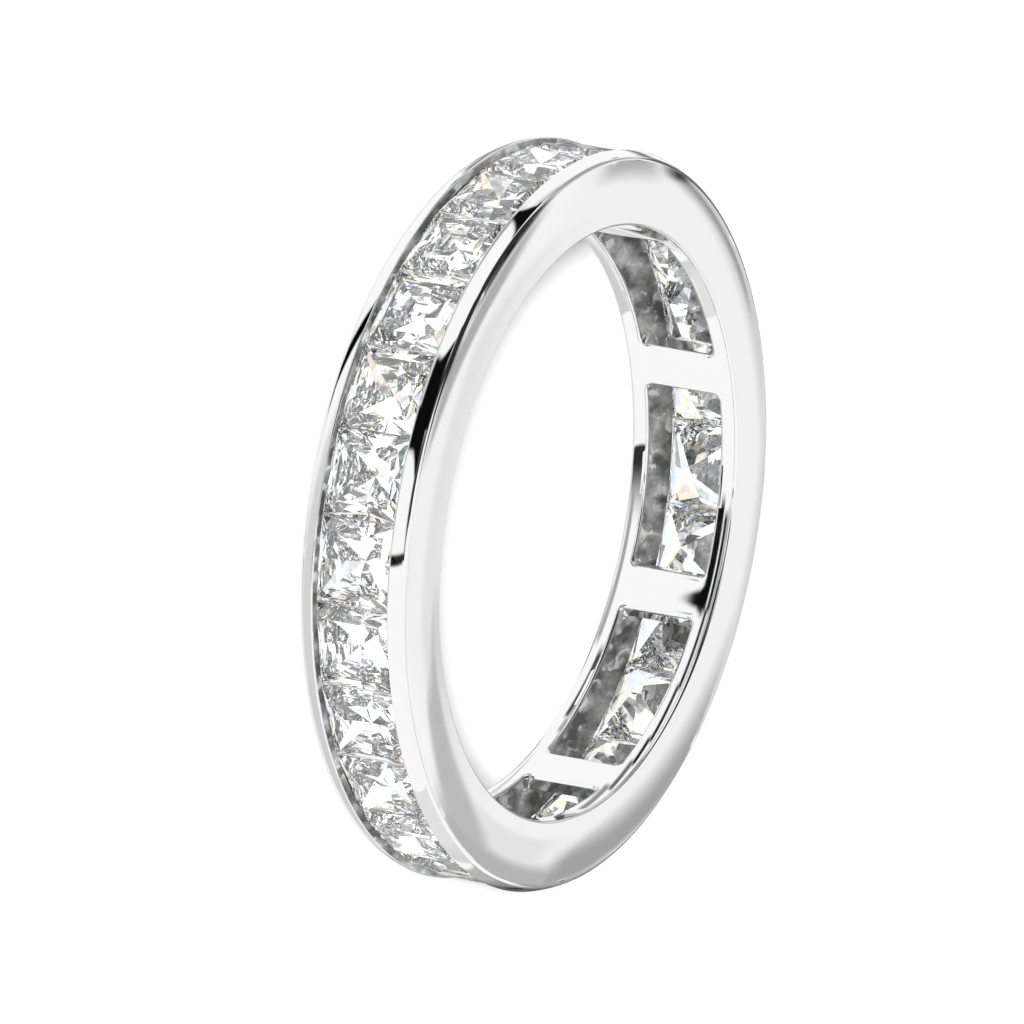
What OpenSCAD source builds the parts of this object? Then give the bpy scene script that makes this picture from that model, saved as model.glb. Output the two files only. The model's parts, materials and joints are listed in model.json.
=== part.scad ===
// Full eternity band ring: one cast channel band and a closed row of princess-cut stones.
// The ring lies on its side. The origin is on the ring's axis, level with the side face
// that it rests on, and +Z runs along the axis.

/* [Finger hole] */
// Inside diameter of the ring
finger_d = 17.3; // [16.5:0.1:19]
// Radius of the comfort edge at each end of the finger hole
comfort_r = 0.1; // [0.04:0.01:0.15]

/* [Band] */
// Width of the band over the crowns of its two side faces
band_w = 3.5; // [3.4:0.05:4]
// Radial thickness of the band, from the finger hole to the crest of a rail
band_t = 2.19; // [2.18:0.01:2.4]
// How far each side face falls from its flat middle to its edges
side_fall = 0.055; // [0.02:0.005:0.08]
// Width of the rolled-off stretch along each edge of a side face
side_roll = 0.45; // [0.2:0.05:0.6]
// How far a rail's top falls from its crest to its outer edge
rail_fall = 0.17; // [0.05:0.01:0.25]

/* [Channel] */
// Clear width between the two rails
channel_w = 2.44; // [2.42:0.01:2.5]
// Depth of the groove that each rail has for the stones' edges
groove_d = 0.1; // [0.09:0.005:0.12]
// Depth of the stones' upper girdle edge below the crest of the rails
girdle_depth = 0.41; // [0.38:0.01:0.43]

/* [Gallery] */
// Number of windows round the finger hole
window_count = 8; // [6:1:12]
// Direction of the first bar between two windows, in degrees
first_bar_angle = -15.4; // [-45:0.1:45]
// Width of the windows across the band
window_w = 2.4; // [1.6:0.05:2.4]
// Radius in the corners of the windows
window_corner_r = 0.2; // [0.1:0.05:0.4]
// Width of a bar between two windows, at the finger hole
bar_w = 1.284; // [1:0.05:2]
// Radial distance from the finger hole to the outer side of the bars
bar_t = 0.4; // [0.3:0.01:0.4]
// How far polishing leaves the bars back from the wall of the finger hole
bar_back = 0.02; // [0.01:0.005:0.03]

/* [Stones] */
// Number of stones in the row
stone_count = 26; // [24:1:28]
// Direction of the joint between the last stone and the first, in degrees
first_joint_angle = 35.45; // [0:0.05:60]
// Gap between neighbouring stones at their girdles
stone_gap = 0.02; // [0.01:0.005:0.04]
// How far the stones' edges reach under each rail
stone_tuck = 0.07; // [0.05:0.005:0.08]
// Height of the straight girdle round a stone
girdle_h = 0.09; // [0.06:0.01:0.12]
// Height of the crown above the girdle
crown_h = 0.29; // [0.24:0.01:0.32]
// Depth of the pavilion below the girdle
pavilion_h = 1.26; // [1.1:0.01:1.26]
// Width of the table as a share of the stone's width
table_share = 0.7; // [0.6:0.01:0.78]

/* [Hidden] */
$fn = 96;

// Bands of a stone's facets met on the middle of each side:
// share of the half width, share of the height
CROWN_BREAK = [0.86, 0.56];
CHEVRONS = [
    [0.93, 0.15],
    [0.80, 0.33],
    [0.55, 0.56],
];

metal = [0.86, 0.86, 0.88];
clear = [0.92, 0.96, 1.0];

bore_r = finger_d / 2;
crest_r = bore_r + band_t;
rim_r = crest_r - rail_fall;
mid_z = band_w / 2;
edge_z = mid_z - side_fall;
wall_z = channel_w / 2;
groove_z = wall_z + groove_d;
lip_bevel = 0.03;
arc_steps = 4;
roll_steps = 3;

girdle_top_r = crest_r - girdle_depth;
girdle_low_r = girdle_top_r - girdle_h;
stone_pitch = 360 / stone_count;
// Half of a stone, along the band and across it
half_along = girdle_low_r * tan(stone_pitch / 2) - stone_gap / 2;
half_across = wall_z + stone_tuck;

// The groove clears the girdle's corners, which stand further out than its middle
groove_gap = 0.03;
lip_rise = 0.04;
groove_top_r = norm([girdle_top_r, half_along]) + groove_gap;
groove_low_r = girdle_low_r - groove_gap;
// Slope of the pavilion's first facet across the band
pavilion_slope = CHEVRONS[0][1] * pavilion_h / ((1 - CHEVRONS[0][0]) * half_across);
groove_foot_r = girdle_low_r - stone_tuck * pavilion_slope - groove_gap;
lip_foot_r = groove_top_r + lip_rise;

gallery_r = bore_r + bar_t;
bar_r = bore_r + bar_back;
// Soft slope along the windows, from the bars out to the two lands that a finger rides on
slope_z = window_w / 2 + 0.05;
land_z = slope_z + 0.05;
// Half of the angle that one window takes of the bore, and its length on the chord there
window_half_angle = 180 / window_count - asin(bar_w / 2 / bore_r);
window_l = 2 * bore_r * sin(window_half_angle);
// How far a window's cutter starts inside the bore's wall and ends outside the gallery
window_spare = 0.2;

function stone_name(i) = str("princess_stone_", i < 10 ? "0" : "", i);

// Points on the round from the bore to the side face, short of the side face's own edge
function comfort_arc() =
    [for (i = [0 : arc_steps - 1]) let (a = 90 * i / arc_steps)
        [bore_r + comfort_r * (1 - cos(a)), edge_z - comfort_r * (1 - sin(a))]];

// Points on the side face where it falls away from height mid_z, from r_flat to r_edge
function side_line(r_flat, r_edge) =
    [for (i = [0 : roll_steps]) let (s = i / roll_steps)
        [r_flat + (r_edge - r_flat) * s, mid_z - side_fall * s * s]];

function reversed(points) = [for (i = [len(points) - 1 : -1 : 0]) points[i]];

// Outline of the upper rail: radius and height above the middle of the band
function rail_outline() = concat(
    [[bar_r, slope_z], [bore_r, land_z]],
    comfort_arc(),
    reversed(side_line(bore_r + comfort_r + side_roll, bore_r + comfort_r)),
    side_line(rim_r - side_roll, rim_r),
    [
        [(crest_r + rim_r) / 2 + 0.01, (wall_z + edge_z) / 2],
        [crest_r, wall_z + lip_bevel],
        [crest_r - lip_bevel, wall_z],
        [lip_foot_r, wall_z],
        [groove_top_r, groove_z],
        [groove_low_r, groove_z],
        [groove_foot_r, wall_z],
        [gallery_r, wall_z],
    ]
);

// Both rails and the gallery between them, turned as one ring
module channel_ring() {
    upper = rail_outline();
    lower = [for (p = reversed(upper)) [p[0], -p[1]]];
    rotate_extrude($fn = 180) polygon(concat(upper, lower));
}

// Outline of one window: its length on X, its width on Y
module window_outline() {
    square([window_l, window_w - 2 * window_corner_r], center = true);
    square([window_l - 2 * window_corner_r, window_w], center = true);
    for (side_x = [-1, 1], side_y = [-1, 1])
        translate([side_x * (window_l / 2 - window_corner_r), side_y * (window_w / 2 - window_corner_r)])
            circle(r = window_corner_r, $fn = 32);
}

// Cutter for the window about +X, straight along the window's middle direction
module window_cutter() {
    start = bore_r * cos(window_half_angle) - window_spare;
    translate([start, 0, 0])
        rotate([90, 0, 90])
            linear_extrude(height = gallery_r + window_spare - start)
                window_outline();
}

module band()
    color(metal)
        translate([0, 0, mid_z])
            difference() {
                channel_ring();
                for (i = [0 : window_count - 1])
                    rotate(first_bar_angle + (i + 0.5) * 360 / window_count)
                        window_cutter();
            }

// The four points that one point of a quarter gives by turning it about the stone's axis.
// across and along are shares of the stone's half sizes.
function corners(share, h) =
    [for (s = [[1, 1], [-1, 1], [-1, -1], [1, -1]])
        [h, share * s[0] * half_along, share * s[1] * half_across]];

function side_middles(share, h) =
    [for (s = [[0, 1], [-1, 0], [0, -1], [1, 0]])
        [h, share * s[0] * half_along, share * s[1] * half_across]];

// Stone with its girdle's lower edge at x = 0, its table towards +X and its culet on the axis
module princess_cut() {
    tiers = len(CHEVRONS);
    points = concat(
        corners(table_share, girdle_h + crown_h),
        side_middles(CROWN_BREAK[0], girdle_h + CROWN_BREAK[1] * crown_h),
        corners(1, girdle_h),
        corners(1, 0),
        [for (c = CHEVRONS) each side_middles(c[0], -c[1] * pavilion_h)],
        [[-pavilion_h, 0, 0]]
    );
    table = 0;
    crown_mid = 4;
    girdle_top = 8;
    girdle_low = 12;
    chevron = 16;
    culet = chevron + 4 * tiers;
    faces = concat(
        [[for (i = [3 : -1 : 0]) table + i]],
        [for (i = [0 : 3]) let (j = (i + 1) % 4) each [
            [table + i, table + j, crown_mid + i],
            [girdle_top + i, table + i, crown_mid + i],
            [table + j, girdle_top + j, crown_mid + i],
            [girdle_top + j, girdle_top + i, crown_mid + i],
            [girdle_top + i, girdle_top + j, girdle_low + j, girdle_low + i],
            [girdle_low + i, girdle_low + j, chevron + i],
        ]],
        [for (t = [0 : tiers - 1], i = [0 : 3])
            let (j = (i + 1) % 4,
                 here = chevron + 4 * t + i,
                 next = t == tiers - 1 ? culet : here + 4)
            each [
                [girdle_low + i, here, next],
                [here, girdle_low + j, next],
            ]]
    );
    polyhedron(points = points, faces = faces, convexity = 2);
}

module princess_stone(i)
    color(clear)
        rotate(first_joint_angle + (i - 0.5) * stone_pitch)
            translate([girdle_low_r, 0, mid_z])
                princess_cut();

band();
for (i = [1 : stone_count])
    princess_stone(i);
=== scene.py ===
import json
import math
import random
from dataclasses import dataclass

import bmesh
import bpy
from mathutils import Matrix, Vector


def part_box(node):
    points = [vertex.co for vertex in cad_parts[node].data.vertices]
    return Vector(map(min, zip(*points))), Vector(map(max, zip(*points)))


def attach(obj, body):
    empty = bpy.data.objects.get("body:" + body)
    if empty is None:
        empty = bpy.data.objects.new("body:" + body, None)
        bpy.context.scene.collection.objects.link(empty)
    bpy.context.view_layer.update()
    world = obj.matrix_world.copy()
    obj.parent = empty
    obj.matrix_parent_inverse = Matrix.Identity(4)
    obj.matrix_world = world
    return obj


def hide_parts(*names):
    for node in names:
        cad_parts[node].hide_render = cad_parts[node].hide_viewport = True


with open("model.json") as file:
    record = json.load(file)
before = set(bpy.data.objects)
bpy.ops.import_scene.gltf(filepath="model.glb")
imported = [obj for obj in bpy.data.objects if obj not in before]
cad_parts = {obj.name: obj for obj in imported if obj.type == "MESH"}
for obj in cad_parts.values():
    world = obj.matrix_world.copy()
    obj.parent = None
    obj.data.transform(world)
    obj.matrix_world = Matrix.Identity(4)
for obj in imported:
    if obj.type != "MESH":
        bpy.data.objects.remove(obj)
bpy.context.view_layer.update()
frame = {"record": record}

# Sizes of the ring in millimetres. A height is measured out from the finger hole,
# and a distance across is measured from the ring's middle plane.
MM = 0.001
finger_hole = next(m for m in frame["record"]["mounts"] if m["name"] == "finger_hole")
band_low, band_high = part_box("band")
BORE_R = finger_hole["dims"]["r_mm"]
CREST_H = band_high.x / MM - BORE_R
MID_Z = (band_low.z + band_high.z) / 2 / MM
HALF_W = (band_high.z - band_low.z) / 2 / MM

# Side faces and the tops of the rails
SIDE_FALL = 0.07
SIDE_FLAT = 0.2
SIDE_SLANT = 0.25
SIDE_STEPS = 24
RIM_FALL = 0.182
RAIL_TURN = 20
RAIL_TURN_STEPS = 8
LAND_STEPS = 6
COMFORT_ROUND = 0.07
COMFORT_STEPS = 6
RIM_ROUND = 0.11
RIM_STEPS = 5
LIP_ROUND = 0.045
LIP_STEPS = 4

# Channel, its grooves, the windows and the bars between them
WALL_Z = 1.22
WINDOW_Z = 1.20
GALLERY_H = 0.40
GROOVE_Z = 1.32
LIP_FOOT_H = 1.92
GROOVE_TOP_H = 1.88
GROOVE_LOW_H = 1.66
GROOVE_FOOT_H = 1.51
WINDOW_COUNT = 8
FIRST_BAR_ANGLE = math.radians(-15.4)
BAR_W = 1.284
BAR_FLARE_W = 1.534
WINDOW_CORNER_R = 0.20
WINDOW_CORNER_STEPS = 5
WINDOW_EDGE_ROUND = 0.10
WINDOW_EDGE_STEPS = 4
# The finger hole opens this much towards its two ends, half of it on a curve of each power
COMFORT_FALL = 0.05
COMFORT_POWERS = (2, 8)
SLICE_ANGLE = math.radians(0.75)
BAR_SLICES = 6

# Stones
STONE_COUNT = 26
FIRST_JOINT = math.radians(35.45)
STONE_GAP = 0.02
STONE_TUCK = 0.07
GIRDLE_LOW_H = 1.69
GIRDLE_T = 0.09
CROWN_T = 0.29
PAVILION_T = 1.26
TABLE_SHARE = 0.7
# Where a stone's facets meet on the middle of each side: share of the half width, share of the height
CROWN_BREAK = (0.86, 0.56)
CHEVRONS = [(0.94, 0.13), (0.84, 0.28), (0.66, 0.455), (0.40, 0.68)]
# No two stones are cut quite alike: how far a chevron and a culet may stray
CHEVRON_STRAY = 0.03
CULET_STRAY = 0.06
LUCK_SEED = 5
DIAMOND_IOR = 2.417
# Warm and cool light, which add up to white, bend by different amounts
FIRE = (("#d4bc95", 2.411), ("#9ebbda", 2.424))
# How much of the clear stone the ground skin of its girdle hides
GIRDLE_COVER = 0.75

# Corners of a rail's outline before they are rounded. Rounding lowers the crest by LIP_LOSS.
LIP_LOSS = 0.004
COMFORT = (0.0, HALF_W)
RIM = (CREST_H - RIM_FALL, HALF_W - SIDE_FALL)
CREST = (CREST_H + LIP_LOSS, WALL_Z)

# Places nearer than CLOSE are the same, and points nearer than WELD become one
CLOSE = 0.001
WELD = 0.002
# A cut passes through the points that are nearer to it than this
CUT_CLOSE = 1e-5
# Faces that meet at more than SHARP_ANGLE keep a crisp edge, and a stone's facets under FLAT_ANGLE are one
SHARP_ANGLE = math.radians(35)
FLAT_ANGLE = math.radians(0.2)
# A window's edge is rounded where the cosine of its turn is under EDGE_COSINE, and a wall of the channel
# has a normal with at least WALL_SHARE of its length along the ring's axis
EDGE_COSINE = 0.5
WALL_SHARE = 0.9


def srgb(code):
    """Linear colour of an sRGB hex value."""
    parts = [int(code[i:i + 2], 16) / 255 for i in (1, 3, 5)]
    linear = [c / 12.92 if c <= 0.04045 else ((c + 0.055) / 1.055) ** 2.4 for c in parts]
    return (*linear, 1.0)


def node(tree, kind, links=None, **settings):
    """Adds a node with its settings. links gives each input a value or a socket to read."""
    added = tree.nodes.new(kind)
    for name, value in settings.items():
        setattr(added, name, value)
    for key, source in (links or {}).items():
        if isinstance(source, bpy.types.NodeSocket):
            tree.links.new(source, added.inputs[key])
        else:
            added.inputs[key].default_value = source
    return added


def maths(tree, operation, *values):
    return node(tree, "ShaderNodeMath", dict(enumerate(values)), operation=operation).outputs[0]


def ramp(tree, value, start, end):
    """0 below start, 1 above end and a soft step between them, which needs no clamp of its own."""
    step = node(
        tree, "ShaderNodeMapRange",
        {"Value": value, "From Min": start, "From Max": end},
        interpolation_type="SMOOTHSTEP",
        clamp=False,
    )
    return step.outputs["Result"]


# The band

def rail_top(outer_corner, crest_corner):
    """Points between the rim and the crest, on an arc that turns by RAIL_TURN degrees."""
    start, end = Vector(outer_corner), Vector(crest_corner)
    half_turn = math.radians(RAIL_TURN / 2)
    chord = end - start
    radius = chord.length / 2 / math.sin(half_turn)
    inwards = Vector((chord.y, -chord.x)).normalized()
    centre = (start + end) / 2 + inwards * radius * math.cos(half_turn)
    points = []
    for i in range(1, RAIL_TURN_STEPS):
        turn = Matrix.Rotation(-2 * half_turn * i / RAIL_TURN_STEPS, 2)
        points.append(tuple(centre + turn @ (start - centre)))
    return points


def side_face(edge_h):
    """Points of a side face, nearly flat beside the finger hole and falling more and more to edge_h."""
    points = []
    for i in range(SIDE_STEPS + 1):
        share = i / SIDE_STEPS
        beyond_flat = max(0.0, share - SIDE_FLAT) / (1 - SIDE_FLAT)
        fall = SIDE_FALL * (SIDE_SLANT * share + (1 - SIDE_SLANT) * beyond_flat ** 2)
        points.append((edge_h * share, HALF_W - fall))
    return points


def rail_outline():
    """Corners and curves of one rail as (height, across), closed from the last to the first."""
    land_w = HALF_W - WINDOW_Z
    land = [(0.0, WINDOW_Z + land_w * i / LAND_STEPS) for i in range(LAND_STEPS)]
    inside = [
        CREST,
        (LIP_FOOT_H, WALL_Z),
        (GROOVE_TOP_H, GROOVE_Z),
        (GROOVE_LOW_H, GROOVE_Z),
        (GROOVE_FOOT_H, WALL_Z),
        (GALLERY_H, WALL_Z),
    ]
    return land + side_face(RIM[0]) + rail_top(RIM, CREST) + inside


def extruded_rail(bm, outline, stations):
    """Draws the outline at the first station and extrudes it through the others."""
    verts = [bm.verts.new((stations[0], h, z)) for h, z in outline]
    edges = [bm.edges.new((verts[i - 1], verts[i])) for i in range(len(verts))]
    for here, there in zip(stations, stations[1:]):
        out = bmesh.ops.extrude_edge_only(bm, edges=edges)["geom"]
        bmesh.ops.translate(
            bm,
            verts=[g for g in out if isinstance(g, bmesh.types.BMVert)],
            vec=(there - here, 0, 0),
        )
        edges = [g for g in out if isinstance(g, bmesh.types.BMEdge)]


def long_edges(bm, height, across):
    """Edges that run along the band at one corner of the outline."""
    corner = Vector((height, across))
    return [e for e in bm.edges if all((v.co.yz - corner).length < CLOSE for v in e.verts)]


def round_edges(bm, edges, size, segments):
    bmesh.ops.bevel(
        bm,
        geom=edges,
        offset=size,
        offset_type="OFFSET",
        segments=segments,
        profile=0.5,
        affect="EDGES",
        material=-1,
    )


def bridge_bar(bm):
    """Joins the two rails by the bar at the middle of the sector."""
    for v in bm.verts:
        if abs(abs(v.co.x) - BAR_W / 2) < CLOSE and abs(v.co.y - GALLERY_H) < CLOSE:
            v.co.x = math.copysign(BAR_FLARE_W / 2, v.co.x)
    ends = [
        f for f in bm.faces
        if abs(f.calc_center_median().x) < CLOSE
        and 0 < f.calc_center_median().y < GALLERY_H
        and abs(f.calc_center_median().z) < WALL_Z + CLOSE
    ]
    edges = [e for e in bm.edges if any(f in ends for f in e.link_faces)]
    bmesh.ops.delete(bm, geom=ends, context="FACES_ONLY")
    bmesh.ops.bridge_loops(bm, edges=edges)


def window_corners(bm):
    """The four short edges in the corners of the windows, where the bar meets the rails."""
    found = []
    for e in bm.edges:
        low, high = sorted(e.verts, key=lambda v: v.co.y)
        if abs(low.co.y) < CLOSE and abs(high.co.y - GALLERY_H) < CLOSE and abs(low.co.x) < BAR_W:
            found.append(e)
    return found


def window_rims(bm):
    """Edges round the windows on the wall of the finger hole."""
    found = []
    for e in bm.edges:
        on_bore = all(abs(v.co.y) < CLOSE and abs(v.co.z) < WINDOW_Z + CLOSE for v in e.verts)
        if on_bore and len(e.link_faces) == 2:
            one, other = e.link_faces
            if abs(one.normal.dot(other.normal)) < EDGE_COSINE:
                found.append(e)
    return found


def slice_mesh(bm, places, direction):
    for place in places:
        bmesh.ops.bisect_plane(
            bm,
            geom=bm.verts[:] + bm.edges[:] + bm.faces[:],
            dist=CUT_CLOSE,
            plane_co=Vector(direction) * place,
            plane_no=direction,
        )


def mark_cast_faces(bm):
    """The channel's walls keep the skin of the casting."""
    for f in bm.faces:
        spot = f.calc_center_median()
        inside_wall = abs(spot.z) < WALL_Z + CLOSE and abs(f.normal.z) > WALL_SHARE
        on_wall = inside_wall and WINDOW_EDGE_ROUND < spot.y < CREST_H - LIP_ROUND
        f.material_index = 1 if on_wall else 0
        f.smooth = True


def wrap_round(bm):
    """Bends the straight sector round the ring's axis."""
    for v in bm.verts:
        along, height, across = v.co
        if height < GALLERY_H:
            opening = sum((abs(across) / HALF_W) ** power for power in COMFORT_POWERS) / 2
            height += COMFORT_FALL * opening * (1 - height / GALLERY_H)
        angle = along / BORE_R
        radius = BORE_R + height
        v.co = (radius * math.cos(angle), radius * math.sin(angle), across + MID_Z)


def build_band(polished, cast):
    """One sector with its bar, made straight, bent round and repeated about the axis."""
    bm = bmesh.new()
    half_sector = math.pi / WINDOW_COUNT * BORE_R
    extruded_rail(bm, rail_outline(), [-half_sector, -BAR_W / 2, BAR_W / 2, half_sector])
    round_edges(bm, long_edges(bm, *COMFORT), COMFORT_ROUND, COMFORT_STEPS)
    round_edges(bm, long_edges(bm, *RIM), RIM_ROUND, RIM_STEPS)
    round_edges(bm, long_edges(bm, *CREST), LIP_ROUND, LIP_STEPS)
    whole = bm.verts[:] + bm.edges[:] + bm.faces[:]
    bmesh.ops.mirror(bm, geom=whole, matrix=Matrix(), merge_dist=0.0, axis="Z")
    bridge_bar(bm)
    bmesh.ops.recalc_face_normals(bm, faces=bm.faces[:])
    round_edges(bm, window_corners(bm), WINDOW_CORNER_R, WINDOW_CORNER_STEPS)
    bm.normal_update()
    round_edges(bm, window_rims(bm), WINDOW_EDGE_ROUND, WINDOW_EDGE_STEPS)
    slices = round(2 * math.pi / WINDOW_COUNT / SLICE_ANGLE)
    along = [half_sector * (2 * i / slices - 1) for i in range(1, slices)]
    slice_mesh(bm, along, (1, 0, 0))
    across = [WINDOW_Z * (2 * i / BAR_SLICES - 1) for i in range(1, BAR_SLICES)]
    slice_mesh(bm, across, (0, 0, 1))
    bm.normal_update()
    mark_cast_faces(bm)
    wrap_round(bm)
    sector = bm.verts[:] + bm.edges[:] + bm.faces[:]
    bmesh.ops.rotate(bm, verts=bm.verts[:], matrix=Matrix.Rotation(FIRST_BAR_ANGLE, 3, "Z"))
    for i in range(1, WINDOW_COUNT):
        copy = bmesh.ops.duplicate(bm, geom=sector)["geom"]
        bmesh.ops.rotate(
            bm,
            verts=[g for g in copy if isinstance(g, bmesh.types.BMVert)],
            matrix=Matrix.Rotation(2 * math.pi * i / WINDOW_COUNT, 3, "Z"),
        )
    bmesh.ops.remove_doubles(bm, verts=bm.verts[:], dist=WELD)
    # The first sector's faces all look the same way, and here they are made to look outwards
    if bm.calc_volume(signed=True) < 0:
        bmesh.ops.reverse_faces(bm, faces=bm.faces[:])
    bm.normal_update()
    for e in bm.edges:
        e.smooth = e.calc_face_angle(math.pi) < SHARP_ANGLE
    bmesh.ops.scale(bm, vec=(MM, MM, MM), verts=bm.verts[:])
    mesh = bpy.data.meshes.new("polished_band")
    bm.to_mesh(mesh)
    bm.free()
    mesh.materials.append(polished)
    mesh.materials.append(cast)
    band = bpy.data.objects.new("polished_band", mesh)
    bpy.context.scene.collection.objects.link(band)
    even = band.modifiers.new("even_normals", "WEIGHTED_NORMAL")
    even.keep_sharp = True
    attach(band, "root")
    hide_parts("band")


# The stones

def side_points(bm, share, height, half_along, half_across, strays):
    """A point on the middle line of each of a stone's four sides."""
    for (across, along), stray in zip(((1, 0), (0, 1), (-1, 0), (0, -1)), strays):
        reach = share - stray
        bm.verts.new((height, along * reach * half_along, across * reach * half_across))


def corner_points(bm, share, height, half_along, half_across):
    for across, along in ((1, 1), (-1, 1), (-1, -1), (1, -1)):
        bm.verts.new((height, along * share * half_along, across * share * half_across))


def cut_stone(number, diamond_look, luck):
    """A princess cut about +X, turned to its place in the row. Its facets are the hull of its points."""
    name = f"princess_stone_{number:02d}"
    girdle_r = BORE_R + GIRDLE_LOW_H
    pitch = 2 * math.pi / STONE_COUNT
    half_along = girdle_r * math.tan(pitch / 2) - STONE_GAP / 2
    half_across = WALL_Z + STONE_TUCK
    bm = bmesh.new()
    corner_points(bm, TABLE_SHARE, GIRDLE_T + CROWN_T, half_along, half_across)
    corner_points(bm, 1, GIRDLE_T, half_along, half_across)
    corner_points(bm, 1, 0, half_along, half_across)
    crown_share, crown_height = CROWN_BREAK
    even = (0, 0, 0, 0)
    side_points(bm, crown_share, GIRDLE_T + crown_height * CROWN_T, half_along, half_across, even)
    for share, depth in CHEVRONS:
        strays = [luck.uniform(0, CHEVRON_STRAY) for i in range(4)]
        side_points(bm, share, -depth * PAVILION_T, half_along, half_across, strays)
    stray_along, stray_across = (luck.uniform(-CULET_STRAY, CULET_STRAY) for i in range(2))
    bm.verts.new((-PAVILION_T + abs(stray_along), stray_along, stray_across))
    bmesh.ops.convex_hull(bm, input=bm.verts[:])
    bmesh.ops.dissolve_limit(bm, angle_limit=FLAT_ANGLE, verts=bm.verts[:], edges=bm.edges[:])
    bmesh.ops.translate(bm, vec=(girdle_r, 0, MID_Z), verts=bm.verts[:])
    place = Matrix.Rotation(FIRST_JOINT + (number - 0.5) * pitch, 3, "Z")
    bmesh.ops.rotate(bm, verts=bm.verts[:], matrix=place)
    bmesh.ops.scale(bm, vec=(MM, MM, MM), verts=bm.verts[:])
    bmesh.ops.recalc_face_normals(bm, faces=bm.faces[:])
    mesh = bpy.data.meshes.new("cut_" + name)
    bm.to_mesh(mesh)
    bm.free()
    mesh.materials.append(diamond_look)
    stone = bpy.data.objects.new("cut_" + name, mesh)
    bpy.context.scene.collection.objects.link(stone)
    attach(stone, "root")
    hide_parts(name)


# Materials

# Levels of the noise between which the skin of the casting turns to pale smears and to dark pits
SMEAR_EDGE = (0.56, 0.66)
PIT_EDGE = (0.37, 0.27)


def polished_gold():
    """Rhodium-plated white gold, buffed to a mirror: white, with the softest haze."""
    material = bpy.data.materials.new("rhodium_plated_white_gold_buffed")
    material.use_nodes = True
    tree = material.node_tree
    tree.nodes.clear()
    place = node(tree, "ShaderNodeTexCoord").outputs["Object"]
    haze = node(tree, "ShaderNodeTexNoise", {"Vector": place, "Scale": 900.0, "Detail": 2.0})
    rough = node(
        tree, "ShaderNodeMapRange",
        {"Value": haze.outputs["Fac"], "From Min": 0.3, "From Max": 0.7, "To Min": 0.02, "To Max": 0.05},
    )
    shader = node(
        tree, "ShaderNodeBsdfPrincipled",
        {"Base Color": srgb("#f4f4f4"), "Metallic": 1.0, "Roughness": rough.outputs["Result"]},
    )
    node(tree, "ShaderNodeOutputMaterial", {"Surface": shader.outputs["BSDF"]})
    return material


def cast_gold():
    """White gold left as cast inside the channel: grey lumps, pale smears and dark pits."""
    material = bpy.data.materials.new("white_gold_as_cast")
    material.use_nodes = True
    tree = material.node_tree
    tree.nodes.clear()
    place = node(tree, "ShaderNodeTexCoord").outputs["Object"]
    # The lumps are twice as long in one direction
    flow = node(tree, "ShaderNodeMapping", {"Vector": place, "Scale": (1, 0.5, 1)}).outputs["Vector"]
    lumps = node(
        tree, "ShaderNodeTexNoise",
        {"Vector": flow, "Scale": 1 / (0.7 * MM), "Detail": 4.0, "Roughness": 0.55},
    )
    smears = node(
        tree, "ShaderNodeTexNoise",
        {"Vector": flow, "Scale": 1 / (0.35 * MM), "Detail": 2.0, "Distortion": 0.5},
    )
    grain = node(tree, "ShaderNodeTexNoise", {"Vector": place, "Scale": 1 / (0.09 * MM), "Detail": 4.0})
    grey = node(tree, "ShaderNodeValToRGB", {"Fac": lumps.outputs["Fac"]})
    grey.color_ramp.elements[0].position = 0.40
    grey.color_ramp.elements[0].color = srgb("#808080")
    grey.color_ramp.elements[1].position = 0.60
    grey.color_ramp.elements[1].color = srgb("#e8e8e8")
    smeared = ramp(tree, smears.outputs["Fac"], *SMEAR_EDGE)
    pale = node(
        tree, "ShaderNodeMix",
        {"Factor": smeared, "A": grey.outputs["Color"], "B": srgb("#ffffff")}, data_type="RGBA",
    )
    pitted = ramp(tree, grain.outputs["Fac"], *PIT_EDGE)
    tone = node(
        tree, "ShaderNodeMix",
        {"Factor": pitted, "A": pale.outputs["Result"], "B": srgb("#606060")}, data_type="RGBA",
    )
    bump = node(
        tree, "ShaderNodeBump",
        {"Height": grain.outputs["Fac"], "Strength": 0.8, "Distance": 0.02 * MM},
    )
    rough = node(
        tree, "ShaderNodeMapRange",
        {"Value": smeared, "From Min": 0.0, "From Max": 1.0, "To Min": 0.6, "To Max": 0.4},
    )
    shader = node(
        tree, "ShaderNodeBsdfPrincipled",
        {
            "Base Color": tone.outputs["Result"],
            "Metallic": 0.8,
            "Roughness": rough.outputs["Result"],
            "Normal": bump.outputs["Normal"],
        },
    )
    node(tree, "ShaderNodeOutputMaterial", {"Surface": shader.outputs["BSDF"]})
    return material


def girdle_share(tree, place):
    """1 on the ground girdles of the stones and 0 elsewhere, by the height above the finger hole."""
    parts = node(tree, "ShaderNodeSeparateXYZ", {"Vector": place})
    x, y = parts.outputs["X"], parts.outputs["Y"]
    pitch = 2 * math.pi / STONE_COUNT
    angle = maths(tree, "SUBTRACT", maths(tree, "ARCTAN2", y, x), FIRST_JOINT)
    across_stone = maths(tree, "SUBTRACT", maths(tree, "FLOORED_MODULO", angle, pitch), pitch / 2)
    squares = maths(tree, "MULTIPLY_ADD", x, x, maths(tree, "MULTIPLY", y, y))
    reach = maths(tree, "MULTIPLY", maths(tree, "SQRT", squares), maths(tree, "COSINE", across_stone))
    low, high = ((BORE_R + h) * MM for h in (GIRDLE_LOW_H, GIRDLE_LOW_H + GIRDLE_T))
    above_low = maths(tree, "GREATER_THAN", reach, low - CLOSE * MM)
    below_high = maths(tree, "LESS_THAN", reach, high + CLOSE * MM)
    return maths(tree, "MULTIPLY", above_low, below_high)


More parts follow.
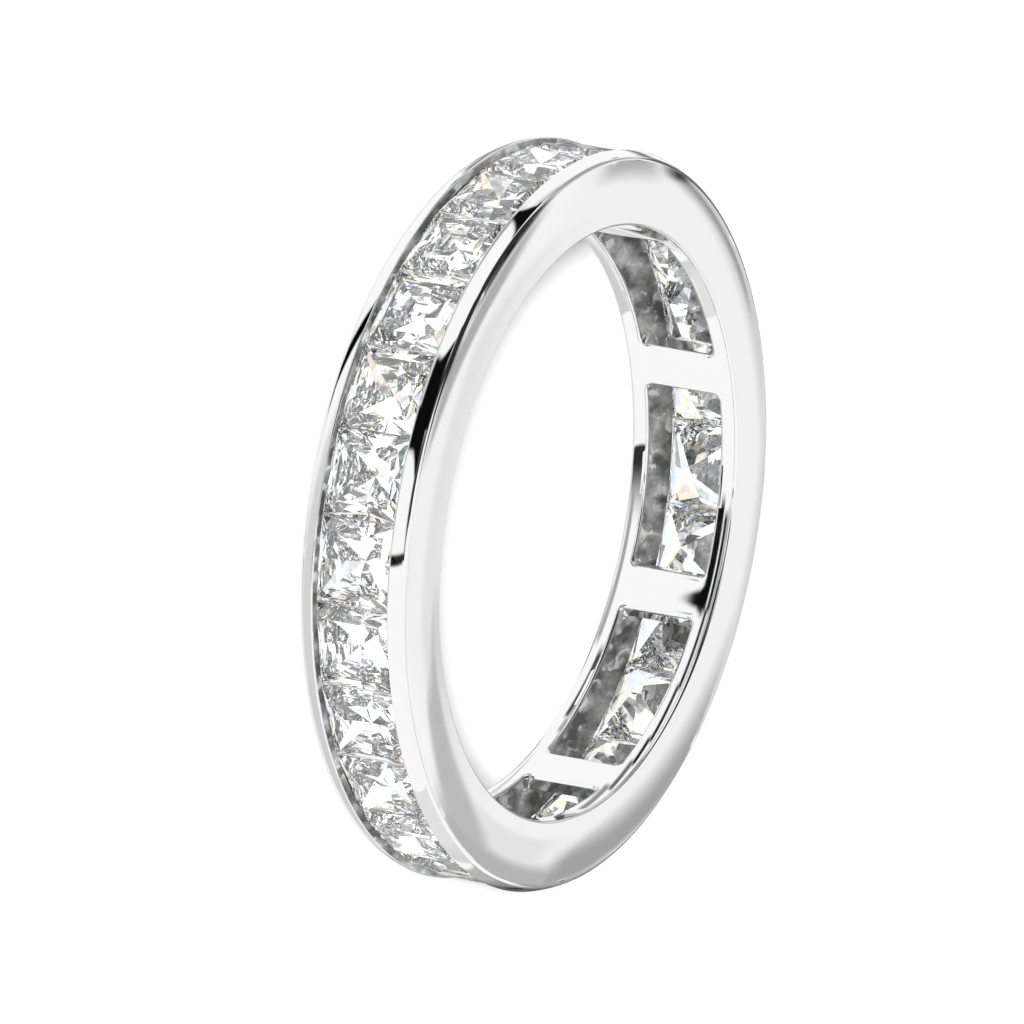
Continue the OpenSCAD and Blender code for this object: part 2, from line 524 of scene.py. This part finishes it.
def diamond():
    """Colourless diamond: polished facets that split white light, and a ground grey girdle."""
    material = bpy.data.materials.new("diamond_polished_facets_ground_girdle")
    material.use_nodes = True
    tree = material.node_tree
    tree.nodes.clear()
    fire = None
    for colour, ior in FIRE:
        ray = node(tree, "ShaderNodeBsdfGlass", {"Color": srgb(colour), "Roughness": 0.0, "IOR": ior})
        if fire:
            ray = node(tree, "ShaderNodeAddShader", {0: fire.outputs[0], 1: ray.outputs[0]})
        fire = ray
    inside = node(
        tree, "ShaderNodeBsdfGlass",
        {"Color": srgb("#ffffff"), "Roughness": 0.0, "IOR": DIAMOND_IOR},
    )
    # Light is split where it enters, and then travels on inside
    path = node(tree, "ShaderNodeLightPath")
    entered = maths(tree, "GREATER_THAN", path.outputs["Transmission Depth"], 0.5)
    facets = node(tree, "ShaderNodeMixShader", {0: entered, 1: fire.outputs[0], 2: inside.outputs[0]})
    place = node(tree, "ShaderNodeTexCoord").outputs["Object"]
    on_girdle = girdle_share(tree, place)
    grain = node(tree, "ShaderNodeTexNoise", {"Vector": place, "Scale": 1 / (0.05 * MM), "Detail": 3.0})
    tone = node(
        tree, "ShaderNodeMix",
        {"Factor": grain.outputs["Fac"], "A": srgb("#8f857c"), "B": srgb("#d2cac2")},
        data_type="RGBA",
    )
    girdle = node(
        tree, "ShaderNodeBsdfPrincipled",
        {"Base Color": tone.outputs["Result"], "Roughness": 0.45},
    )
    surface = node(
        tree, "ShaderNodeMixShader",
        {0: maths(tree, "MULTIPLY", on_girdle, GIRDLE_COVER), 1: facets.outputs[0], 2: girdle.outputs[0]},
    )
    node(tree, "ShaderNodeOutputMaterial", {"Surface": surface.outputs[0]})
    return material


# Studio

TENT_LIGHT = 1.04
FILL_LIGHT = 0.50
KEY_LIGHT = 6.5
KEY_WIDTH = math.radians(9)
TOWARDS_KEY = (0.085, 0.876, 0.474)
FLOOR_REACH = 1.5
# What the stones gather is brighter and darker than what the metal mirrors. Their lamps are the bright
# parts of a noise, and LAMP_PLACES picks the slice of it.
LAMP_LIGHT = 1.55
DARK_CORNERS = 0.04
LAMP_PLACES = 0.0
LAMP_EDGE = (0.34, 0.43)
# Where warm and cool light meet, on the lamps and on the dim walls between them
LAMP_TURN = (0.46, 0.56)
WALL_TURN = (0.44, 0.58)


@dataclass
class Flag:
    """A dark panel in the tent. Its borders are azimuths and heights in degrees.
    takes is the share of the light that it takes away, and soft the half width of its borders.
    A border leans by lean degrees for each degree of height, and bends away above bend_from."""
    right: float
    left: float
    low: float
    high: float
    takes: float = 0.996
    soft: tuple = (2.0, 2.0)
    soft_ends: float = 2.0
    lean: tuple = (0.0, 0.0)
    bend: tuple = (0.0, 0.0)
    bend_from: tuple = (0.0, 0.0)


# Azimuths run from +X towards +Y, and heights from the floor's level upwards
FLAGS = [
    # Pillar between the two windows of the tent, wider at its top
    Flag(44.8, 66, 1, 29, soft=(1.6, 1), soft_ends=2.5, bend=(-0.044, 0), bend_from=(9, 0)),
    Flag(60, 73.7, -1.5, 29, soft=(1, 1.6), soft_ends=2, bend=(0, 0.022), bend_from=(0, 8)),
    # Dark ceiling over the pillar and on both sides of it
    Flag(27, 66, 29, 38, soft=(4, 1.5), soft_ends=1.5),
    Flag(20, 61, 34, 76, takes=0.95, soft=(2, 2)),
    Flag(-85, 24, 40, 76, takes=0.97, soft=(3, 3), soft_ends=4),
    Flag(59, 100, 32, 76, takes=0.95, soft=(2, 2), soft_ends=1),
    # Beam from the pillar to the narrow post, with a pale edge above it
    Flag(60, 107, 26.3, 30.3, soft=(2.5, 2), soft_ends=0.9),
    Flag(64, 100, 29, 33.5, takes=0.5, soft=(3, 5), soft_ends=1.5),
    Flag(103.9, 107.3, -9, 28, soft=(0.6, 0.6)),
    # Wedge that points down, with a soft shade beside it
    Flag(
        -10.8, -5.0, -7.5, 28, soft=(1.2, 1.2), soft_ends=1.2,
        lean=(0, 0.14), bend=(-0.021, 0), bend_from=(-8, 0),
    ),
    Flag(-31, -12, 6, 22, takes=0.5, soft=(13, 4), soft_ends=6),
    # Grey ceiling to the right of the wedge, with two dark arcs along its foot
    Flag(-70, -34, 12, 40, takes=0.62, soft=(8, 5), soft_ends=5),
    Flag(-53.7, -46.5, -7, 9, takes=0.8, soft=(3, 4), lean=(1.47, 1.47)),
    Flag(-65.7, -60.3, -23, -9, takes=0.78, soft=(2.5, 2.5), lean=(0.44, 0.44)),
    # Grey walls behind the ring, darker towards a spot on the right
    Flag(-190, -145, -27, 22, takes=0.2, soft=(1, 1.5)),
    Flag(-160, -145, -27, 18, takes=0.31, soft=(15, 1.5)),
    Flag(-145, -99, -27, 12, takes=0.52, soft=(1.5, 4), soft_ends=1.5, lean=(-0.395, 0)),
    Flag(-138, -99, -27, 12, takes=0.7, soft=(8, 4), soft_ends=1.5, lean=(-0.3, 0)),
    Flag(-127, -105, -27, 0, takes=0.86, soft=(6, 4), soft_ends=3),
    Flag(-121.5, -114.5, -21, -9, takes=0.97, soft=(2, 2), soft_ends=2.5),
    Flag(-185, -52.5, -62, -30, takes=0.35, soft=(1, 3), lean=(0, 1.71)),
    # The side face shows a small part of the tent: in its middle the light is a little uneven
    Flag(-97.5, -87, 19.5, 31, takes=0.07, soft=(2, 2), soft_ends=1.5),
    Flag(-97, -92.5, 28.6, 32.5, takes=0.19, soft=(0.8, 0.8), soft_ends=1.4),
    Flag(-98, -91.5, 30, 37, takes=0.07, soft=(1, 1), soft_ends=1),
    Flag(-125, -99.5, 33, 60, takes=0.17, soft=(4, 2), soft_ends=2),
    Flag(-96.6, -95.8, 36, 46, takes=0.3, soft=(0.4, 0.4)),
    Flag(-99, -96.8, 27.3, 29, takes=0.19, soft=(0.5, 0.4), soft_ends=0.3),
    # On its left, a black panel in two arms over a pale one with a dark foot
    Flag(-128.15, -78, 34.3, 41, soft=(0.8, 1.5), soft_ends=0.5, lean=(1.077, 0)),
    Flag(-67.0, -80, 32.3, 34.8, soft=(0.4, 1.5), soft_ends=0.6, lean=(-0.71, 0)),
    Flag(-92.8, -112.8, 35.3, 62, soft=(0.5, 0.6), soft_ends=0.6, lean=(0, 0.615)),
    Flag(-72.7, -67.2, 32, 36, takes=0.56, soft=(0.35, 0.3), soft_ends=0.6, lean=(-0.6, -0.71)),
    Flag(-90.2, -78, 27.1, 29.6, takes=0.55, soft=(1.1, 2), soft_ends=0.5),
    Flag(-90, -78, 25.3, 26.7, takes=0.96, soft=(0.4, 2), soft_ends=0.5),
    Flag(-104.2, -103.3, 22, 26.6, takes=0.74, soft=(0.9, 0.3), soft_ends=0.8, lean=(0.54, 0.54)),
    Flag(-104.9, -102.9, 20, 25.5, takes=0.35, soft=(1.5, 0.3), soft_ends=1.5, lean=(0.54, 0.54)),
    # Under its middle, a pale grey wedge that fades upwards
    Flag(-98.9, -89.5, 0, 20.8, takes=0.4, soft=(0.5, 0.4), soft_ends=3, lean=(0.08, -0.14)),
    # On its right, a grey panel with a grey tongue to the middle and a dark foot
    Flag(-89.1, -90.65, 20.5, 26.8, takes=0.62, soft=(0.4, 1.6), soft_ends=0.5, lean=(-0.43, -0.25)),
    Flag(-120, -98.9, 25.3, 32.2, takes=0.52, soft=(3, 0.7), soft_ends=0.8),
    Flag(-101, -73.2, 29.1, 31.9, takes=0.48, soft=(0.5, 0.5), soft_ends=0.5, lean=(0, -0.75)),
    Flag(-112, -99.7, 22, 25, takes=0.78, soft=(3, 0.5), soft_ends=0.9),
    Flag(-118, -106.8, 10, 22.5, takes=0.6, soft=(1, 0.5), soft_ends=1, lean=(0, 0.33)),
    # Low on its left, a dark panel that the rim shows along its outline
    Flag(-92, -66, -14, 19, takes=0.85, soft=(1.5, 3), soft_ends=2),
    # Low panels, which the near end of the finger hole's wall shows, with a thin dark line over them
    Flag(59.5, 103, -23.6, -20.3, soft=(2.5, 4), soft_ends=0.5),
    Flag(36, 117, -25.8, -21.5, soft=(1.5, 1.5), soft_ends=0.9, lean=(-1, 2)),
    Flag(60, 98, -19.3, -17, soft=(2, 3), soft_ends=0.5),
    Flag(28, 62, -20.2, -18.2, soft=(2, 2), soft_ends=0.5),
    Flag(2, 30, -21.3, -19.4, soft=(2, 2), soft_ends=0.5),
    Flag(-12, 4, -22.5, -20.6, soft=(2, 2), soft_ends=0.5),
    Flag(-30, -10, -23.6, -21.6, takes=0.85, soft=(2, 2), soft_ends=0.5),
    Flag(-56, -28, -25.2, -23.4, takes=0.7, soft=(2, 2), soft_ends=0.5),
    Flag(-10, 100, -17, -3.5, takes=0.65, soft=(8, 5), soft_ends=1.5),
    Flag(-130, -100, -26.5, -22, takes=0.97, soft=(3, 3), soft_ends=1),
    # Panel and thin lines that its far end shows
    Flag(100, 120.3, -45, -29.8, takes=0.97, soft=(14, 1), soft_ends=1),
    Flag(2, 36, -33, -31.4, takes=0.95, soft=(2, 4), soft_ends=0.5),
    Flag(-6, 2, -31.8, -30.4, takes=0.6, soft=(2, 2), soft_ends=0.5),
    Flag(38, 112, -38.5, -35.4, takes=0.6, soft=(4, 4), soft_ends=0.6),
    Flag(-350.5, -342.7, -33, -29.5, takes=0.4, soft=(4, 4), soft_ends=0.6, lean=(-9.7, -9.7)),
    # Dark band that runs along the far rail's crest and its outline
    Flag(-50, -18, -41.5, -35.5, takes=0.95, soft=(3, 3), soft_ends=0.9),
    Flag(-70, -50, -39.5, -35, takes=0.72, soft=(3, 3), soft_ends=1),
    Flag(-84, -68, -36.8, -31.5, takes=0.68, soft=(3, 3), soft_ends=1),
    Flag(-112, -81, -31.5, -25, takes=0.8, soft=(4, 3), soft_ends=1.5),
    Flag(18, 60, -53, -42, takes=0.8, soft=(5, 5), soft_ends=3),
    Flag(113.5, 119, -54.5, -45, takes=0.97, soft=(1.5, 1.5), soft_ends=1.5),
]
# The table under the tent is pale grey and has a dark edge, a circle of the tent with this axis and reach
TABLE_EDGE_AXIS = (-0.677, 0.694, 0.244)
TABLE_EDGE_REACH = -0.442
TABLE_EDGE_W = 0.09
TABLE_EDGE_CORE = 0.4
TABLE_EDGE_TOP = -46.0
TABLE_EDGE_SOFT = 2.0
TABLE_RISE = (0.22, 0.5)
TABLE_TAKES = 0.31


def border(tree, height, azimuth, lean, bend, bend_from):
    """A border's azimuth at a height."""
    if lean:
        azimuth = maths(tree, "MULTIPLY_ADD", height, lean, azimuth)
    if bend:
        above = maths(tree, "MAXIMUM", maths(tree, "SUBTRACT", height, bend_from), 0.0)
        azimuth = maths(tree, "MULTIPLY_ADD", maths(tree, "MULTIPLY", above, above), bend, azimuth)
    return azimuth


def flag_shade(tree, azimuth, height, flag):
    """The share of the light that one flag takes, by direction."""
    right, left = (
        border(tree, height, *values)
        for values in zip((flag.right, flag.left), flag.lean, flag.bend, flag.bend_from)
    )
    from_right = ramp(tree, maths(tree, "SUBTRACT", azimuth, right), -flag.soft[0], flag.soft[0])
    from_left = ramp(tree, maths(tree, "SUBTRACT", left, azimuth), -flag.soft[1], flag.soft[1])
    from_low = ramp(tree, height, flag.low - flag.soft_ends, flag.low + flag.soft_ends)
    from_high = ramp(tree, height, flag.high + flag.soft_ends, flag.high - flag.soft_ends)
    sides = maths(tree, "MULTIPLY", from_right, from_left)
    ends = maths(tree, "MULTIPLY", from_low, from_high)
    return maths(tree, "MULTIPLY", maths(tree, "MULTIPLY", sides, ends), flag.takes)


def table_shade(tree, direction, height):
    """The share of the light that the table and its dark edge take."""
    along_axis = node(
        tree, "ShaderNodeVectorMath",
        {0: direction, 1: TABLE_EDGE_AXIS}, operation="DOT_PRODUCT",
    ).outputs["Value"]
    inside = maths(tree, "SUBTRACT", along_axis, TABLE_EDGE_REACH)
    core = TABLE_EDGE_W * TABLE_EDGE_CORE
    edge = ramp(tree, maths(tree, "ABSOLUTE", inside), TABLE_EDGE_W, core)
    table = maths(tree, "MULTIPLY", ramp(tree, inside, *TABLE_RISE), TABLE_TAKES)
    below = ramp(tree, height, TABLE_EDGE_TOP + TABLE_EDGE_SOFT, TABLE_EDGE_TOP - TABLE_EDGE_SOFT)
    return maths(tree, "MULTIPLY", maths(tree, "MAXIMUM", edge, table), below)


def build_studio():
    """A white tent with dark flags. Matt surfaces get its even light, polished metal shows the
    flags, and the stones gather the light of warm and cool lamps."""
    world = bpy.data.worlds.new("white_tent")
    bpy.context.scene.world = world
    world.use_nodes = True
    tree = world.node_tree
    tree.nodes.clear()
    direction = node(tree, "ShaderNodeTexCoord").outputs["Generated"]
    parts = node(tree, "ShaderNodeSeparateXYZ", {"Vector": direction})
    azimuth = maths(tree, "DEGREES", maths(tree, "ARCTAN2", parts.outputs["Y"], parts.outputs["X"]))
    height = maths(tree, "DEGREES", maths(tree, "ARCSINE", parts.outputs["Z"]))
    dark = table_shade(tree, direction, height)
    for flag in FLAGS:
        dark = maths(tree, "MAXIMUM", dark, flag_shade(tree, azimuth, height, flag))
    tent = maths(tree, "MULTIPLY_ADD", dark, -TENT_LIGHT, TENT_LIGHT)
    room = node(
        tree, "ShaderNodeTexNoise",
        {"Vector": direction, "W": LAMP_PLACES, "Scale": 4.5, "Detail": 1.0}, noise_dimensions="4D",
    )
    lit = ramp(tree, room.outputs["Fac"], *LAMP_EDGE)
    lamps = maths(tree, "MULTIPLY_ADD", lit, LAMP_LIGHT - DARK_CORNERS, DARK_CORNERS)
    walls = node(tree, "ShaderNodeTexNoise", {"Vector": direction, "Scale": 2.5, "Detail": 0.0})
    turn = ramp(tree, walls.outputs["Fac"], *WALL_TURN)
    wall_tint = node(
        tree, "ShaderNodeMix",
        {"Factor": turn, "A": srgb("#b2cbd8"), "B": srgb("#d6c8b2")}, data_type="RGBA",
    )
    turn = ramp(tree, room.outputs["Fac"], *LAMP_TURN)
    lamp_tint = node(
        tree, "ShaderNodeMix",
        {"Factor": turn, "A": srgb("#fff6e6"), "B": srgb("#e6f1fc")}, data_type="RGBA",
    )
    tint = node(
        tree, "ShaderNodeMix",
        {"Factor": lit, "A": wall_tint.outputs["Result"], "B": lamp_tint.outputs["Result"]},
        data_type="RGBA",
    )
    # The camera sees plain white, and each kind of ray has a background of its own
    path = node(tree, "ShaderNodeLightPath")
    white = (1, 1, 1, 1)
    seen = node(tree, "ShaderNodeBackground", {"Color": white, "Strength": 1.0})
    for kind, colour, level in (
        ("Is Diffuse Ray", white, FILL_LIGHT),
        ("Is Glossy Ray", white, tent),
        ("Is Transmission Ray", tint.outputs["Result"], lamps),
    ):
        light = node(tree, "ShaderNodeBackground", {"Color": colour, "Strength": level})
        seen = node(
            tree, "ShaderNodeMixShader",
            {0: path.outputs[kind], 1: seen.outputs[0], 2: light.outputs[0]},
        )
    node(tree, "ShaderNodeOutputWorld", {"Surface": seen.outputs[0]})
    world.cycles.sampling_method = "NONE"


def build_floor():
    """Plain pale floor. It takes the ring's shadow, and the polished metal mirrors the tent instead."""
    bm = bmesh.new()
    bmesh.ops.create_grid(bm, x_segments=2, y_segments=2, size=FLOOR_REACH)
    mesh = bpy.data.meshes.new("floor")
    bm.to_mesh(mesh)
    bm.free()
    floor = bpy.data.objects.new("floor", mesh)
    bpy.context.scene.collection.objects.link(floor)
    material = bpy.data.materials.new("matt_white_paper")
    material.use_nodes = True
    shader = material.node_tree.nodes["Principled BSDF"]
    shader.inputs["Base Color"].default_value = srgb("#f4f4f4")
    shader.inputs["Roughness"].default_value = 0.9
    mesh.materials.append(material)
    floor.visible_glossy = False
    floor.visible_transmission = False


def build_key_light():
    """Soft lamp near the camera's own direction, so the ring's shadow falls mostly behind the ring."""
    data = bpy.data.lights.new("key", "SUN")
    data.energy = KEY_LIGHT
    data.angle = KEY_WIDTH
    key = bpy.data.objects.new("key", data)
    key.rotation_euler = Vector(TOWARDS_KEY).to_track_quat("Z", "Y").to_euler()
    key.visible_glossy = False
    key.visible_transmission = False
    bpy.context.scene.collection.objects.link(key)


CAMERA_PLACE_MM = (36.25, 435.5, 234.1)
CAMERA_BACKWARDS = (0.0733, 0.8792, 0.4708)
CAMERA_UP = (0.9881, 0.0, -0.1537)
CAMERA_LENS = 602.5


def build_camera():
    """The photo's angle to the ring: its axis points to the right and a little forward."""
    data = bpy.data.cameras.new("camera")
    data.lens = CAMERA_LENS
    data.sensor_width = 36
    data.clip_start = 0.01
    data.clip_end = 5
    camera = bpy.data.objects.new("camera", data)
    back = Vector(CAMERA_BACKWARDS).normalized()
    right = Vector(CAMERA_UP).cross(back).normalized()
    up = back.cross(right)
    turned = Matrix((right, up, back)).transposed().to_4x4()
    camera.matrix_world = Matrix.Translation(Vector(CAMERA_PLACE_MM) * MM) @ turned
    bpy.context.scene.collection.objects.link(camera)
    bpy.context.scene.camera = camera


build_band(polished_gold(), cast_gold())
diamond_look = diamond()
luck = random.Random(LUCK_SEED)
for number in range(1, STONE_COUNT + 1):
    cut_stone(number, diamond_look, luck)
build_studio()
build_floor()
build_key_light()
build_camera()

scene = bpy.context.scene
scene.view_settings.view_transform = "Standard"
scene.cycles.max_bounces = 32
scene.cycles.glossy_bounces = 32
scene.cycles.transmission_bounces = 32
scene.cycles.caustics_reflective = False
scene.cycles.caustics_refractive = False
